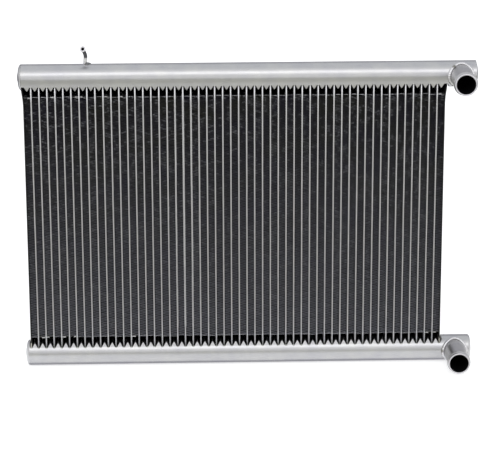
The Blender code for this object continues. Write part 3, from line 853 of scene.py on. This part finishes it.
for node_name, axis in (("lower_neck", LOWER_AXIS), ("upper_neck", UPPER_AXIS)):
    points, faces, picks = [], [], []
    rows = len(NECK_OUTLINE)
    for turn in range(NECK_TURNS):
        angle = 2 * math.pi * turn / NECK_TURNS
        for radius, out in NECK_OUTLINE:
            points.append((
                NECK_X + radius * math.cos(angle), -out, axis + radius * math.sin(angle)
            ))
    for turn in range(NECK_TURNS):
        here, there = turn * rows, ((turn + 1) % NECK_TURNS) * rows
        for row in range(rows - 1):
            faces.append((here + row, there + row, there + row + 1, here + row + 1))
            picks.append(1 if row < NECK_LINING_ROWS else 2 if row < NECK_RIM_ROWS else 0)
    faces.append(tuple(turn * rows for turn in range(NECK_TURNS)))
    picks.append(1)
    neck = piece_from(
        f"{node_name}_pipe", points, faces, [turned_aluminium, bore_painted_shade, bright_rim],
        True, picks
    )
    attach(neck, "root")
    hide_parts(node_name)
    seam, radii = [], []
    ripple = random.Random(len(node_name))
    for index in range(SEAM_POINTS):
        angle = 2 * math.pi * index / SEAM_POINTS
        left = max(0.0, math.cos(angle - SEAM_BULGE_TURN)) ** 2
        low = max(0.0, -math.sin(angle)) ** 2
        reach = NECK_RADIUS + SEAM_REACH + SEAM_BULGE_REACH * left
        up = reach * math.sin(angle)
        seat = math.sqrt(TANK_RADIUS**2 - min(abs(up), SEAM_SADDLE) ** 2)
        seam.append(Vector((NECK_X + reach * math.cos(angle), -seat - SEAM_SINK, axis + up)))
        beat = SEAM_BEAT_RISE * abs(math.sin(SEAM_BEATS * angle))
        beat += ripple.uniform(-SEAM_RIPPLE, SEAM_RIPPLE)
        radii.append(SEAM_RADIUS + beat + SEAM_BULGE_RADIUS * left - SEAM_LOW_CUT * low)
    points, faces = swept_ring(seam, radii, SEAM_SIDES, True)
    weld = piece_from(f"{node_name}_weld", points, faces, [weld_metal])
    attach(weld, "root")
    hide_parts(node_name)


# Vent pipe: a 4.6 mm aluminium pipe, bent forward over the tank, with a flared mouth.
# It stands in a hole in the tank's top and is held by a blob of weld at its right side.
VENT_LINE = [
    (-0.187, 0.0, 0.3965), (-0.18665, 0.0, 0.4035), (-0.1862, 0.0, 0.4065),
    (-0.18605, -0.0007, 0.4085), (-0.1862, -0.0021, 0.4108), (-0.1866, -0.0040, 0.4130),
    (-0.1876, -0.0070, 0.4163), (-0.18825, -0.0090, 0.4186), (-0.1886, -0.0108, 0.4202),
    (-0.1889, -0.0133, 0.4211),
]
VENT_RADII = [0.0022, 0.00225, 0.0023, 0.0023, 0.0023, 0.0023, 0.0023, 0.0025, 0.0030, 0.0037]
# (radius, distance past the last point) from the lip's crest over its face into the bore
VENT_MOUTH = [(0.00375, 0.0004), (0.0034, 0.0008), (0.0027, 0.0009), (0.0021, 0.0006),
              (0.0018, 0.0), (0.0017, -0.006)]
VENT_LIP_BACK = 0.001
VENT_SIDES = 32
BLOB_X = -0.1843
BLOB_REACH = 0.0042
BLOB_STRETCH = 1.1
BLOB_LOBES = 0.12
BLOB_RISE = 0.0024
BLOB_SINK = 0.0003
BLOB_RINGS = 8
BLOB_SIDES = 28

# The pipe is coloured near-white below its bend and dark grey above it, with a ragged edge
# between.
vent_metal, tree, shader, spot = surface("vent_aluminium_pipe", metallic=1.0, roughness=0.33)
cloud = add_node(tree, "ShaderNodeTexNoise", {"Vector": spot, "Scale": 420.0})
height = add_node(tree, "ShaderNodeSeparateXYZ", {"Vector": spot}).outputs["Z"]
uneven = add_node(tree, "ShaderNodeMath", {
    0: cloud.outputs["Fac"], 1: 0.0012, 2: height,
}, operation="MULTIPLY_ADD")
darker_above_bend = add_node(tree, "ShaderNodeMapRange", {
    "Value": uneven.outputs[0], "From Min": 0.4068, "From Max": 0.4086,
})
colour = blend(tree, darker_above_bend.outputs[0], paint("#F6F6F8"), paint("#6C6C6E"))
tree.links.new(colour.outputs[2], shader.inputs["Base Color"])

line = [Vector(place) for place in VENT_LINE]
way = (line[-1] - line[-2]).normalized()
line[-1] = line[-1] - way * VENT_LIP_BACK
points, faces = swept_ring(line, VENT_RADII, VENT_SIDES, False)
faces = faces[:-1]
side_way = (points[-VENT_SIDES] - line[-1]).normalized()
other = way.cross(side_way)
for radius, past in VENT_MOUTH:
    for step in range(VENT_SIDES):
        angle = 2 * math.pi * step / VENT_SIDES
        away = (side_way * math.cos(angle) + other * math.sin(angle)) * radius
        points.append(line[-1] + way * past + away)
picks = [0] * len(faces)
faces += ring_faces(len(VENT_MOUTH) + 1, VENT_SIDES, (len(line) - 1) * VENT_SIDES)
picks += [2] * VENT_SIDES * (len(VENT_MOUTH) - 1) + [1] * VENT_SIDES
bottom = len(points) - VENT_SIDES
faces.append(tuple(range(bottom, bottom + VENT_SIDES)))
picks.append(1)
vent = piece_from(
    "vent_pipe_bent", points, faces, [vent_metal, bore_painted_shade, bright_rim], True, picks
)
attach(vent, "root")
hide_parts("vent_pipe")

points = []
for ring in range(BLOB_RINGS + 1):
    tilt = math.pi / 2 * ring / BLOB_RINGS
    for step in range(BLOB_SIDES):
        angle = 2 * math.pi * step / BLOB_SIDES
        reach = BLOB_REACH * math.cos(tilt) * (1 + BLOB_LOBES * math.sin(3 * angle + 1))
        x, y = BLOB_X + reach * math.cos(angle) * BLOB_STRETCH, reach * math.sin(angle)
        seat = math.sqrt(TANK_RADIUS**2 - y**2) - BLOB_SINK
        points.append((x, y, UPPER_AXIS + seat + BLOB_RISE * math.sin(tilt)))
faces = ring_faces(BLOB_RINGS + 1, BLOB_SIDES)
faces.append(tuple(reversed(range(BLOB_SIDES))))
vent_weld = piece_from("vent_pipe_weld", points, faces, [grey_weld])
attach(vent_weld, "root")
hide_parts("vent_pipe")


# Shade cards: the photograph's studio was dark behind the core, so the gaps look black.
# Small black cards stand between the tubes at the back of both gaps, as part of the studio.
SHADE_BACK = 0.0122
SHADE_LAP = 0.0005
SHADE_FIN_LAP = 0.0035
# low end, high end and how far the side plate leans out at the high one
SHADE_ROWS = (
    (0.0262, FIN_LOW + SHADE_FIN_LAP, 0.0), (FIN_HIGH - SHADE_FIN_LAP, 0.3728, PLATE_FLARE),
)

black_card = bpy.data.materials.new("black_card")
black_card.use_nodes = True
shader = black_card.node_tree.nodes["Principled BSDF"]
shader.inputs["Base Color"].default_value = paint("#060606")
shader.inputs["Roughness"].default_value = 1.0
shader.inputs["Specular IOR Level"].default_value = 0.0

points, faces = [], []
for gap in range(TUBES + 1):
    left = FIRST_TUBE + (gap - 1) * PITCH + TUBE_HALF
    right = left + PITCH - 2 * TUBE_HALF
    for low_z, high_z, flare in SHADE_ROWS:
        start = len(points)
        out_left = flare if gap == 0 else 0
        out_right = flare if gap == TUBES else 0
        points += [
            (left - SHADE_LAP, SHADE_BACK, low_z), (right + SHADE_LAP, SHADE_BACK, low_z),
            (right + SHADE_LAP + out_right, SHADE_BACK, high_z),
            (left - SHADE_LAP - out_left, SHADE_BACK, high_z),
        ]
        faces.append((start, start + 1, start + 2, start + 3))
shade = piece_from("gap_shade_cards", points, faces, [black_card], smooth=False)
